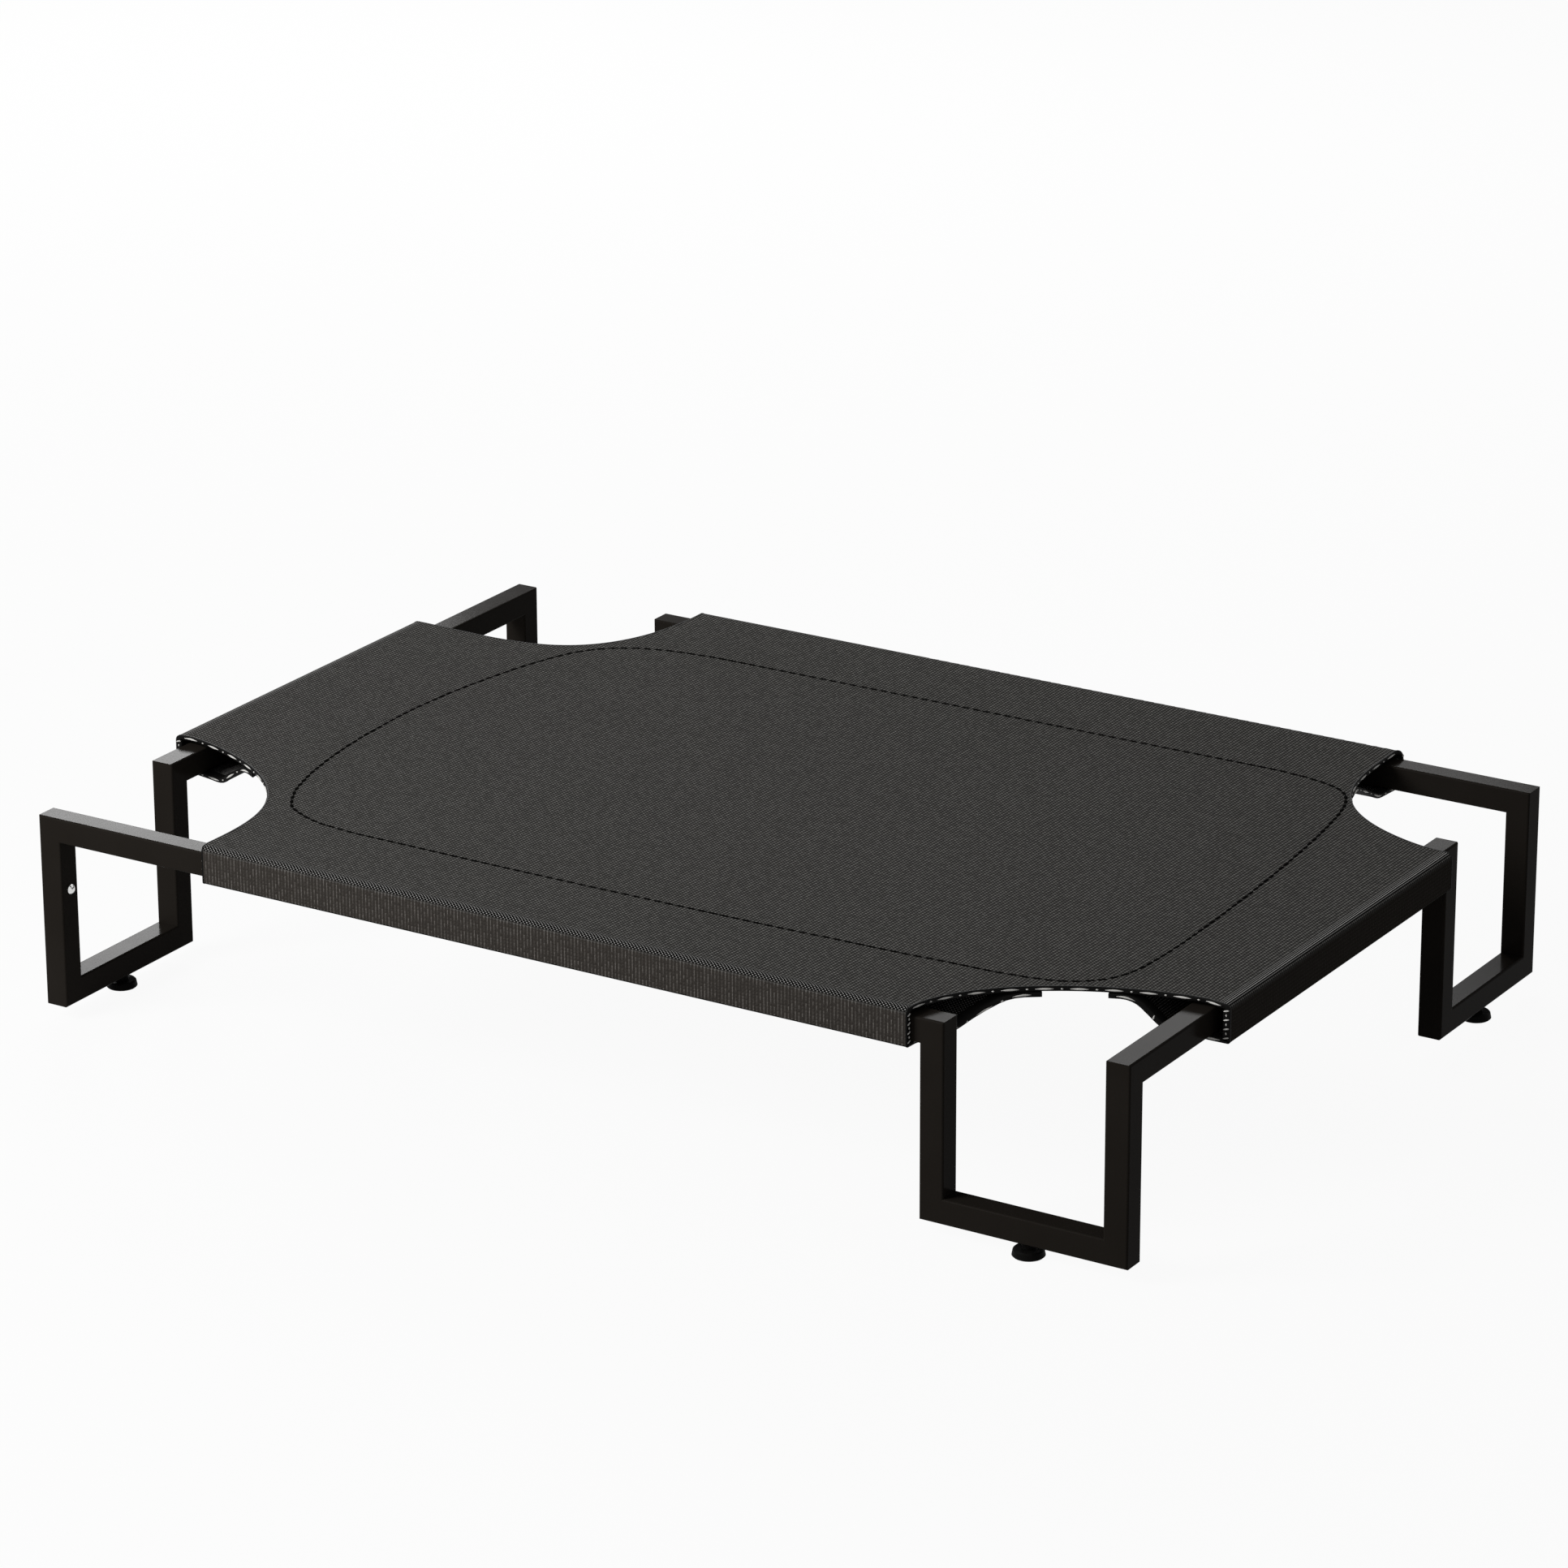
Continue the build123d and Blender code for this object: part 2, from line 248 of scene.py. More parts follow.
class Nodes:
    """Short way to make the nodes of a material or a world."""

    def __init__(self, owner):
        owner.use_nodes = True
        self.owner = owner
        self.tree = owner.node_tree
        self.shader = self.tree.nodes.get("Principled BSDF") or self.tree.nodes["Background"]

    def add(self, kind, **inputs):
        """Node of that kind, with its inputs set or linked by name."""
        node = self.tree.nodes.new(kind)
        for key, value in inputs.items():
            self.put(node, key.replace("_", " "), value)
        return node

    def put(self, node, key, value):
        """Sets an input, or links it where the value is a socket."""
        socket = node.inputs[int(key) if key.isdigit() else key]
        if isinstance(value, bpy.types.NodeSocket):
            self.tree.links.new(value, socket)
        else:
            socket.default_value = value

    def maths(self, operation, *values, clamp=False):
        """Result of a maths node."""
        node = self.tree.nodes.new("ShaderNodeMath")
        node.operation = operation
        node.use_clamp = clamp
        for k, value in enumerate(values):
            self.put(node, str(k), value)
        return node.outputs[0]

    def ramp(self, factor, *stops):
        """Colour ramp through (place, colour) stops."""
        node = self.add("ShaderNodeValToRGB", Fac=factor)
        elements = node.color_ramp.elements
        while len(elements) < len(stops):
            elements.new(0.5)
        for element, (place, colour) in zip(elements, stops):
            element.position = place
            element.color = (*colour, 1)
        return node.outputs["Color"]

    def mixed(self, factor, first, second):
        """Colour between two others."""
        node = self.tree.nodes.new("ShaderNodeMix")
        node.data_type = "RGBA"
        for k, value in ((0, factor), (6, first), (7, second)):
            self.put(node, str(k), value)
        return node.outputs[2]

    def spread(self, value, low, high):
        """Value from 0 to 1 mapped to the range from low to high."""
        node = self.add("ShaderNodeMapRange", Value=value, To_Min=low, To_Max=high)
        return node.outputs["Result"]

    def field(self, name):
        """Value that a mesh carries at its points under that name."""
        node = self.tree.nodes.new("ShaderNodeAttribute")
        node.attribute_name = name
        return node.outputs["Fac"]

    def noise(self, scale, detail=2.0, roughness=0.5, vector=None):
        """Noise from 0 to 1, in object coordinates unless another vector is given."""
        if vector is None:
            vector = self.add("ShaderNodeTexCoord").outputs["Object"]
        node = self.add("ShaderNodeTexNoise", Vector=vector, Scale=scale, Detail=detail)
        self.put(node, "Roughness", roughness)
        return node.outputs["Fac"]

    def wave(self, turns):
        """Cosine of a number of turns."""
        return self.maths("COSINE", self.maths("MULTIPLY", turns, 2 * math.pi))

    def lifted(self, wave):
        """Wave from -1 to 1 mapped to the range from 0 to 1."""
        return self.maths("MULTIPLY_ADD", wave, 0.5, 0.5)

    def finish(self, colour=None, roughness=None, bump=None, distance=0.001, strength=1.0, **sockets):
        """Links colour, roughness and bump to the shader, sets its other sockets and gives the owner."""
        if colour is not None:
            self.put(self.shader, "Base Color", colour)
        if roughness is not None:
            self.put(self.shader, "Roughness", roughness)
        if bump is not None:
            node = self.add("ShaderNodeBump", Strength=strength, Distance=distance, Height=bump)
            self.put(self.shader, "Normal", node.outputs["Normal"])
        for key, value in sockets.items():
            self.put(self.shader, key.replace("_", " "), value)
        return self.owner


def new_material(name):
    """Nodes of a new material."""
    return Nodes(bpy.data.materials.new(name))


def powder_coat():
    """Fine matt black powder coat on steel tube."""
    n = new_material("powder_coat")
    grain = n.noise(900.0, 3.0, 0.6)
    patches = n.noise(14.0, 2.0)
    colour = n.ramp(patches, (0.3, (0.0150, 0.0126, 0.0104)), (0.75, (0.0180, 0.0154, 0.0130)))
    rough = n.spread(patches, 0.17, 0.22)
    return n.finish(colour, rough, grain, distance=0.0001, strength=0.10, Specular_IOR_Level=0.006)


def foot_plastic():
    """Moulded black plastic with a fine spark texture."""
    n = new_material("foot_plastic")
    grain = n.noise(1400.0, 2.0, 0.55)
    colour = n.ramp(grain, (0.35, (0.0035, 0.0034, 0.0033)), (0.7, (0.0080, 0.0076, 0.0072)))
    rough = n.spread(grain, 0.42, 0.6)
    return n.finish(colour, rough, grain, distance=0.00015, strength=0.4, Specular_IOR_Level=0.02)


def plated_steel(name, colour_low, colour_high, roughness):
    """Zinc-plated steel with faint brushing."""
    n = new_material(name)
    brushing = n.noise(260.0, 3.0, 0.6)
    colour = n.ramp(brushing, (0.25, colour_low), (0.8, colour_high))
    rough = n.spread(brushing, roughness - 0.06, roughness + 0.08)
    return n.finish(colour, rough, brushing, distance=0.00005, strength=0.2, Metallic=1.0)


def yarn_tone(n, rib_count, yarn_count):
    """Chance tone of each crossing of a rib and a yarn, from 0 to 1."""
    rib_floor = n.maths("FLOOR", rib_count)
    yarn_floor = n.maths("FLOOR", yarn_count)
    crossing = n.add("ShaderNodeCombineXYZ", X=rib_floor, Y=yarn_floor)
    tone = n.add("ShaderNodeTexWhiteNoise")
    tone.noise_dimensions = "2D"
    n.put(tone, "Vector", crossing.outputs["Vector"])
    return tone.outputs["Value"]


def woven_colour(n, crown, tone, fuzz, blotch):
    """Colour of the plain weave: uneven lighter crowns over dark gaps."""
    uneven = n.maths("MULTIPLY", n.spread(tone, 0.75, 1.25), n.spread(blotch, 0.95, 1.05))
    raised = n.maths("MULTIPLY", crown, uneven)
    return n.ramp(
        n.maths("MULTIPLY_ADD", raised, 0.8, n.spread(fuzz, 0.0, 0.2)),
        (0.05, (0.012, 0.0113, 0.0106)),
        (0.35, (0.054, 0.0524, 0.0494)),
        (1.0, (0.220, 0.215, 0.204)),
    )


def wall_colour(n, rib, tone, fuzz, along_rib):
    """Colour of the walls: fine upright lines, or plain and dark where the ribs run along the rail."""
    line = n.maths("MULTIPLY", n.maths("POWER", rib, 6.0), n.spread(tone, 0.3, 1.5))
    lined = n.ramp(
        n.maths("MULTIPLY_ADD", line, 0.4, n.spread(fuzz, 0.0, 0.6)),
        (0.15, (0.028, 0.0242, 0.0210)),
        (0.45, (0.052, 0.0464, 0.0414)),
        (0.90, (0.170, 0.158, 0.146)),
    )
    plain = n.ramp(fuzz, (0.2, (0.0170, 0.0150, 0.0130)), (0.8, (0.0270, 0.0240, 0.0210)))
    return n.mixed(along_rib, lined, plain)


def opened_colour(n, x, y, rib_wave, along_rib):
    """Colour of the painted light: bright dots, or stripes where the ribs run along the rail."""
    dots = n.maths("MULTIPLY", rib_wave, n.wave(n.maths("DIVIDE", y, DOT_PITCH)))
    stripes = n.wave(n.maths("DIVIDE", x, STRIPE_PITCH))
    painted_light = n.lifted(n.spread(along_rib, dots, stripes))
    gap = (0.0020, 0.0019, 0.0018)
    dotted = n.ramp(painted_light, (0.62, gap), (1.0, (0.52, 0.512, 0.498)))
    striped = n.ramp(painted_light, (0.55, gap), (1.0, (0.40, 0.394, 0.383)))
    return n.mixed(along_rib, dotted, striped)


def sling_mesh(name, painted_light_mark):
    """Woven mesh by the marks on its points, with painted light, bright dots and stripes, where the mark
    given second is 1, and painted shade on the heel.
    """
    n = new_material(name)
    flat = n.add("ShaderNodeUVMap")
    flat.uv_map = "flat"
    place = flat.outputs["UV"]
    parts = n.add("ShaderNodeSeparateXYZ", Vector=place).outputs
    rib_count = n.maths("DIVIDE", parts["X"], RIB_PITCH)
    yarn_count = n.maths("DIVIDE", parts["Y"], YARN_PITCH)
    rib_wave = n.wave(n.maths("ADD", rib_count, 0.5))
    rib = n.lifted(rib_wave)
    yarn = n.lifted(n.wave(n.maths("ADD", yarn_count, 0.5)))
    crown = n.maths("POWER", n.maths("MULTIPLY", rib, yarn), 0.8)
    tone = yarn_tone(n, rib_count, yarn_count)
    blotch = n.noise(9.0, 3.0, 0.55, place)
    fuzz = n.noise(700.0, 2.0, 0.6, place)
    along_rib = n.field("along_rib")
    woven = woven_colour(n, crown, tone, fuzz, blotch)
    lined = wall_colour(n, rib, tone, fuzz, along_rib)
    painted_light = opened_colour(n, parts["X"], parts["Y"], rib_wave, along_rib)
    # Painted light: bright dots and stripes where the mark given second is 1, a painted highlight on the
    # rolled edges outside and painted light on the flaps' reverse
    colour = n.mixed(n.field(painted_light_mark), n.mixed(n.field("wall"), woven, lined), painted_light)
    # Painted shade: the cloth turns near black on the heel, the bend below the wall
    colour = n.mixed(n.field("heel"), colour, (0.004, 0.0036, 0.0032, 1))
    rough = n.spread(crown, 0.75, 0.55)
    return n.finish(colour, rough, crown, distance=0.0005, strength=0.7, Specular_IOR_Level=0.003)


def hem_band():
    """Black folded hem, a plain tight weave."""
    n = new_material("hem_band")
    grain = n.noise(1300.0, 2.0, 0.6)
    colour = n.ramp(grain, (0.3, (0.002, 0.0019, 0.0018)), (0.75, (0.006, 0.0057, 0.0054)))
    rough = n.spread(grain, 0.5, 0.7)
    return n.finish(colour, rough, grain, distance=0.0003, strength=0.5, Specular_IOR_Level=0.06)


def thread(name, colour_low, colour_high, roughness, specular):
    """Twisted sewing thread."""
    n = new_material(name)
    twist = n.noise(2600.0, 1.0, 0.5)
    colour = n.ramp(twist, (0.3, colour_low), (0.7, colour_high))
    rough = n.spread(twist, roughness, roughness + 0.15)
    return n.finish(colour, rough, twist, distance=0.0002, strength=0.4, Specular_IOR_Level=specular)


def rounded_path(points, radii):
    """Places along a path with rounded turns, in a plane with the inset to the right and the height up.

    A place is its distance along the path, its point and its outward direction, on the path's right.
    """
    corners = [Vector(point) for point in points]
    steps = [(b - a).normalized() for a, b in zip(corners, corners[1:])]
    places = []

    def put(point, step):
        """Adds a place at that point, on a run in the direction of step."""
        if places:
            far = places[-1][0] + (point - places[-1][1]).length
        else:
            far = 0.0
        places.append((far, point, Vector((step.y, -step.x))))

    start = corners[0]
    put(start, steps[0])
    for k, radius in enumerate(radii):
        before, after = steps[k], steps[k + 1]
        turn = before.angle_signed(after)
        cut = abs(radius * math.tan(turn / 2))
        first = corners[k + 1] - before * cut
        run_points(put, start, first, before)
        side = Vector((before.y, -before.x)) * math.copysign(radius, -turn)
        centre = first - side
        count = max(2, math.ceil(abs(turn) / ARC_STEP))
        for i in range(1, count + 1):
            spin = Matrix.Rotation(-turn * i / count, 2)
            put(centre + spin @ side, spin @ before)
        start = places[-1][1]
    run_points(put, start, corners[-1], steps[-1])
    return places


def run_points(put, start, end, step):
    """Puts even places along a straight run, with the end but not the start."""
    length = (end - start).length
    count = max(1, round(length / GRID))
    for i in range(1, count + 1):
        put(start.lerp(end, i / count), step)


def sleeve_section(sleeve):
    """Outside of a sleeve by distance along the cloth, from the start of the roll to the sewn end."""
    under = SLING_TOP - FLAP_UNDER
    points = [
        (ROLL_START, SLING_TOP),
        (-sleeve.reach, SLING_TOP),
        (-sleeve.reach, SLEEVE_BOTTOM),
        (sleeve.slope_start, FLAP_LOW),
        (sleeve.slope_end, under),
        (sleeve.sewn_end, under),
    ]
    return rounded_path(points, [ROLL_RADIUS, HEEL_RADIUS, FLAP_RADIUS, FLAP_RADIUS])


SECTIONS = {name: sleeve_section(sleeve) for name, sleeve in SLEEVES.items()}
PANEL_X = HALF_LENGTH - ROLL_START
PANEL_Y = HALF_WIDTH - ROLL_START


def partner(inset, reach, power, other_reach, other_power):
    """Inset along the other side at which a scoop cuts a row of that inset."""
    share = min(max(inset / reach, 0.0), 1.0)
    return other_reach * (1 - share ** power) ** (1 / other_power)


def sag(x, y):
    """How far the panel hangs below its edges."""
    across_x = max(0.0, 1 - (x / PANEL_X) ** 2)
    across_y = max(0.0, 1 - (y / PANEL_Y) ** 2)
    return SAG * across_x * across_y


class Cloth:
    """The sling's flat cut, with the place and outward direction of each of its points in space.

    Each point's marks tell how far it lies on the rolled edge's crest (fold), on the upright wall, on the
    bend below the wall (heel) and on the flap under the rail, from 0 to 1. The mark along_rib is 1 on the
    sleeves whose rails run the way of the ribs, along Y. The fold mark places a painted highlight on the
    outside, the flap mark painted light on the reverse, and the heel mark painted shade.
    """

    def __init__(self):
        self.flat = []
        self.place = []
        self.outward = []
        self.marks = []
        self.chains = {}
        self.loop = []

    def add(self, flat, place, outward, **marks):
        """New point of the cut."""
        self.flat.append(Vector(flat))
        self.place.append(Vector(place))
        self.outward.append(Vector(outward))
        self.marks.append(marks)
        return len(self.flat) - 1

    def panel(self, x, y):
        """Point on the panel, with its sag."""
        return self.add((x, y), (x, y, SLING_TOP - sag(x, y)), (0, 0, 1))

    def sleeve(self, name, k, run, from_end):
        """Point on a sleeve: place k of its section, at a run along its rail.

        The distance from_end is to the nearer end of the sleeve's row.
        """
        far, (inset, height), (out, up) = SECTIONS[name][k]
        along_x, side = SLEEVES[name][:2]
        half = HALF_WIDTH if along_x else HALF_LENGTH
        cross = side * (half - inset)
        x, y = (run, cross) if along_x else (cross, run)
        flat_cross = side * (half - ROLL_START + far)
        flat = (run, flat_cross) if along_x else (flat_cross, run)
        direction = (0, -side * out, up) if along_x else (-side * out, 0, up)
        if up < 0:
            share = (height - FLAP_LOW) / (SLING_TOP - FLAP_UNDER - FLAP_LOW)
            share = min(max(share, 0.0), 1.0) ** 2
            ease = min(from_end / LIFT_RUN, 1.0)
            height += share * (SEWN_LIFT * ease * ease * (3 - 2 * ease) - sag(x, y))
        on_roll = inset < ROLL_RADIUS - SLEEVES[name].reach + ROLL_MARGIN
        tilt = FOLD_TILT_ALONG_X if along_x else FOLD_TILT_ALONG_Y
        # The fold mark places the painted highlight on the roll; the flap mark places painted light on
        # the reverse
        fold = max(FOLD_FADE * up, FOLD_RISE * (up - tilt))
        # The heel mark places painted shade on the bend below the wall
        heel = HEEL_RISE * min(-up, abs(out))
        marks = {
            "fold": min(1.0, max(0.0, fold)) if on_roll else 0.0,
            "wall": max(0.0, 1 - WALL_FALL * abs(up)),
            "heel": min(1.0, max(0.0, heel)) if far < HEEL_FAR else 0.0,
            "flap": max(0.0, -up),
            "along_rib": 0.0 if along_x else 1.0,
        }
        return self.add(flat, (x, y, height), direction, **marks)


def row_ends(name, k):
    """Where a sleeve's row k ends: its low and high end along the rail."""
    sleeve = SLEEVES[name]
    far, (inset, _), _ = SECTIONS[name][k]
    past_roll = min(1.0, far / SHIFT_RUN)
    if far > SHIFT_FADE:
        past_roll *= max(0.0, 1 - max(inset, 0.0) / SHIFT_FADE)
    shifts = {-1: sleeve.low_shift * past_roll, 1: sleeve.high_shift * past_roll}
    ends = {}
    for c in CORNERS.values():
        if sleeve.along_x and c.side_y == sleeve.side:
            cut = partner(inset, c.reach_y, c.power_y, c.reach_x, c.power_x) + shifts[c.side_x]
            ends[c.side_x] = c.side_x * (HALF_LENGTH - cut)
        if not sleeve.along_x and c.side_x == sleeve.side:
            cut = partner(inset, c.reach_x, c.power_x, c.reach_y, c.power_y) + shifts[c.side_y]
            ends[c.side_y] = c.side_y * (HALF_WIDTH - cut)
    return ends[-1], ends[1]


def sleeve_end(cloth, name, far_side):
    """Cut end of a sleeve on that side, from its sewn end to the start of its roll."""
    found = []
    for k in range(len(SECTIONS[name]) - 1, 0, -1):
        low, high = row_ends(name, k)
        found.append(cloth.sleeve(name, k, high if far_side > 0 else low, 0.0))
    return found


def scoop_edge(c):
    """Evenly spaced insets along a scoop's curve, from the side along X to the side along Y."""
    start = math.asin((ROLL_START / c.reach_y) ** (c.power_y / 2))
    end = math.acos((ROLL_START / c.reach_x) ** (c.power_x / 2))
    fine = []
    for i in range(SCOOP_SAMPLES + 1):
        angle = start + (end - start) * i / SCOOP_SAMPLES
        inset_x = c.reach_x * math.cos(angle) ** (2 / c.power_x)
        inset_y = c.reach_y * math.sin(angle) ** (2 / c.power_y)
        fine.append(Vector((inset_x, inset_y)))
    runs = [0.0]
    for a, b in zip(fine, fine[1:]):
        runs.append(runs[-1] + (b - a).length)
    edge = []
    k = 0
    for i in range(SCOOP_STEPS + 1):
        while k < SCOOP_SAMPLES and runs[k] < runs[-1] * i / SCOOP_STEPS:
            k += 1
        edge.append(fine[k])
    return edge


def corner_chain(cloth, corner):
    """Cut edge at a corner: out of one sleeve's sewn end, round the scoop and into the other's."""
    c = CORNERS[corner]
    for name, sleeve in SLEEVES.items():
        if sleeve.along_x and sleeve.side == c.side_y:
            on_y_side = sleeve_end(cloth, name, c.side_x)
        if not sleeve.along_x and sleeve.side == c.side_x:
            on_x_side = sleeve_end(cloth, name, c.side_y)
    scoop = []
    for inset_x, inset_y in scoop_edge(c):
        scoop.append(cloth.panel(c.side_x * (HALF_LENGTH - inset_x), c.side_y * (HALF_WIDTH - inset_y)))
    chain = on_y_side + scoop + on_x_side[::-1]
    return chain if c.side_x * c.side_y < 0 else chain[::-1]


def inside_panel(x, y):
    """True if a point of the panel is clear of every scoop."""
    for c in CORNERS.values():
        share_x = max(0.0, HALF_LENGTH - c.side_x * x) / c.reach_x
        share_y = max(0.0, HALF_WIDTH - c.side_y * y) / c.reach_y
        over = (share_x ** c.power_x + share_y ** c.power_y) ** (2 / (c.power_x + c.power_y)) - 1
        if over * min(c.reach_x, c.reach_y) < EDGE_CLEAR:
            return False
    return True


def cut_cloth():
    """The whole cut: its edge loop, then the rows and columns of points inside it."""
    cloth = Cloth()
    for corner, name in zip(LEGS, SLEEVES):
        cloth.chains[corner] = corner_chain(cloth, corner)
        cloth.loop += cloth.chains[corner]
        last = len(SECTIONS[name]) - 1
        low, high = row_ends(name, last)
        count = round((high - low) / GRID)
        onward = name in ("front_sleeve", "right_sleeve")
        for i in range(1, count):
            run = low + (high - low) * (i if onward else count - i) / count
            cloth.loop.append(cloth.sleeve(name, last, run, min(run - low, high - run)))
    columns = round(2 * PANEL_X / GRID)
    rows = round(2 * PANEL_Y / GRID)
    for i in range(columns + 1):
        for j in range(rows + 1):
            x = PANEL_X * (2 * i / columns - 1)
            y = PANEL_Y * (2 * j / rows - 1)
            if inside_panel(x, y):
                cloth.panel(x, y)
    for name, section in SECTIONS.items():
        for k in range(1, len(section) - 1):
            low, high = row_ends(name, k)
            count = round((high - low) / GRID)
            for i in range(1, count):
                run = low + (high - low) * i / count
                cloth.sleeve(name, k, run, min(run - low, high - run))
    return cloth


def make_sling(cloth, outer, reverse):
    """The sling as one continuous sheet with a material on each side, and the area of its flat cut."""
    made = delaunay_2d_cdt(cloth.flat, [], [cloth.loop], INSIDE_ONLY, MERGE_RANGE)
    points, _, faces, origin = made[:4]
    bm = bmesh.new()
    flat = bm.loops.layers.uv.new("flat")
    layers = {mark: bm.verts.layers.float.new(mark) for mark in MARKS}
    verts = []
    for came_from in origin:
        vert = bm.verts.new(cloth.place[came_from[0]])
        for mark, layer in layers.items():
            vert[layer] = cloth.marks[came_from[0]].get(mark, 0.0)
        verts.append(vert)
    area = 0.0
    for face in faces:
        made_face = bm.faces.new([verts[i] for i in face])
        for loop, i in zip(made_face.loops, face):
            loop[flat].uv = points[i]
        a, b, c = (points[i] for i in face)
        area += abs((b - a).cross(c - a)) / 2
    sling = new_object("sling", mesh_from(bm, "sling"))
    sling.data.materials.append(outer)
    sling.data.materials.append(reverse)
    thick = sling.modifiers.new("thickness", "SOLIDIFY")
    thick.thickness = CLOTH
    thick.offset = -1
    thick.material_offset = 1
    thickened = sling.evaluated_get(bpy.context.evaluated_depsgraph_get())
    solid = bpy.data.meshes.new_from_object(thickened)
    sling.modifiers.clear()
    sling.data = solid
    solid.set_sharp_from_angle(angle=SHARP_ANGLE)
    return sling, area


def along_chain(cloth, chain):
    """Points of an edge, each as its place, outward direction, direction off the edge and run length."""
    places = [cloth.place[i] for i in chain]
    outward = [cloth.outward[i] for i in chain]
    run = 0.0
    found = []
    for k, place in enumerate(places):
        tangent = (places[min(k + 1, len(places) - 1)] - places[max(k - 1, 0)]).normalized()
        up = (outward[k] - tangent * outward[k].dot(tangent)).normalized()
        if k:
            run += (place - places[k - 1]).length
        found.append((place, up, tangent.cross(up), run))
    return found


def wall_depth(up):
    """Thickness of the hem on the wall that faces that way, kept off the rail inside it."""
    for sleeve in SLEEVES.values():
        facing = sleeve.side * (up.y if sleeve.along_x else up.x)
        if facing > WALL_FACING * math.hypot(up.x, up.y):
            return min(HEM_WALL, sleeve.reach - RAIL_CLEAR)
    return HEM_EDGE


def hem_depth(up):
    """Thickness of the hem: fullest on the outer wall, thin where it is sewn under the panel."""
    wall = max(0.0, 1 - abs(up.z)) ** HEM_SWELL_POWER
    edge = HEM_EDGE if up.z >= 0 else HEM_FLAP
    return edge + (wall_depth(up) - edge) * wall


def make_hem(name, edge, material):
    """Folded hem along a cut edge: a bar at the edge with a flange under the cloth."""
    bm = bmesh.new()
    rings = []
    for place, up, side, _ in edge:
        depth = hem_depth(up)
        outline = [
            (-HEM_WIDTH, -CLOTH),
            (0.0, -CLOTH),
            (0.0, HEM_PROUD),
            (HEM_OUT - HEM_TOP_BEVEL, HEM_PROUD),
            (HEM_OUT, -HEM_TOP_BEVEL),
            (HEM_OUT, -depth + HEM_LOW_BEVEL),
            (HEM_OUT - HEM_LOW_BEVEL, -depth),
            (-HEM_WIDTH, -depth),
        ]
        rings.append([bm.verts.new(place + side * a + up * b) for a, b in outline])
    for first, second in zip(rings, rings[1:]):
        for i in range(len(first)):
            j = (i + 1) % len(first)
            bm.faces.new((first[i], first[j], second[j], second[i]))
    bm.faces.new(rings[0][::-1])
    bm.faces.new(rings[-1])
    bmesh.ops.recalc_face_normals(bm, faces=bm.faces)
    hem = new_object(name, mesh_from(bm, name))
    hem.data.set_sharp_from_angle(angle=SHARP_ANGLE)
    hem.data.materials.append(material)
    return hem


def sew(bm, points, normals, half_width, half_height, fullness):
    """One stitch: a thread of elliptic section along the points, drawn in at both ends.

    The higher the fullness, the shorter the drawn-in ends.
    """
    rings = []
    count = len(points)
    for k, (point, normal) in enumerate(zip(points, normals)):
        tangent = (points[min(k + 1, count - 1)] - points[max(k - 1, 0)]).normalized()
        across = tangent.cross(normal).normalized()
        share = 2 * k / (count - 1) - 1
        swell = max(THREAD_TIP, 1 - abs(share) ** fullness)
        ring = []
        for i in range(THREAD_SIDES):
            angle = 2 * math.pi * i / THREAD_SIDES
            sideways = across * (math.cos(angle) * half_width)
            offset = sideways + normal * (math.sin(angle) * half_height)
            ring.append(bm.verts.new(point + offset * swell))
        rings.append(ring)
    for first, second in zip(rings, rings[1:]):
        for i in range(THREAD_SIDES):
            j = (i + 1) % THREAD_SIDES
            bm.faces.new((first[i], second[i], second[j], first[j]))
    bm.faces.new(rings[0])
    bm.faces.new(rings[-1][::-1])


def at_run(edge, run):
    """Place and directions at a run length along an edge."""
    for a, b in zip(edge, edge[1:]):
        if a[3] <= run <= b[3]:
            share = (run - a[3]) / max(b[3] - a[3], SHORTEST_RUN)
            return tuple(a[i].lerp(b[i], share) for i in range(3))
    return edge[-1][:3]


def stretches(edge):
    """Parts of an edge by run length: start, end and whether they lie on a sleeve's wall."""
    found = []
    for _, up, _, run in edge:
        on_wall = abs(up.z) < WALL_SLOPE
        if found and found[-1][2] == on_wall:
            found[-1][1] = run
        else:
            found.append([run, run, on_wall])
    return found


def hem_stitches(name, edge, material):
    """White stitches on a hem: dashes and dots on the scoop and flaps, slanted bars on the walls."""
    bm = bmesh.new()

    def lay(places, half_width, fullness):
        """Sews a stitch through places, each a run along the edge and a level on the hem's depth."""
        points = []
        normals = []
        for run, level in places:
            place, up, side = at_run(edge, run)
            points.append(place + side * (HEM_OUT + STITCH_PROUD) - up * (hem_depth(up) * level))
            normals.append(side)
        sew(bm, points, normals, half_width, STITCH_THREAD, fullness)

    def along(run, reach, half_width):
        """Sews a stitch along the hem's middle, as far as reach to both sides of run."""
        shares = [2 * i / (STITCH_POINTS - 1) - 1 for i in range(STITCH_POINTS)]
        lay([(run + reach * share, 0.5) for share in shares], half_width, SOFT_ENDS)

    for start, end, on_wall in stretches(edge):
        period = BAR_PERIOD if on_wall else STITCH_PERIOD
        count = max(1, round((end - start) / period))
        step = (end - start) / count
        for k in range(count):
            run = start + (k + 0.5) * step
            if on_wall:
                slanted = [(run + (level - 0.5) * BAR_SLANT, level) for level in BAR_LEVELS]
                lay(slanted, STITCH_THREAD, BLUNT_ENDS)
            else:
                along(run, STITCH_DASH / 2, STITCH_WIDTH)
            if k:
                along(run - step / 2, STITCH_DOT / 2, STITCH_THREAD)
    bmesh.ops.recalc_face_normals(bm, faces=bm.faces)
    made = new_object(name, mesh_from(bm, name))
    made.data.materials.append(material)
    return made


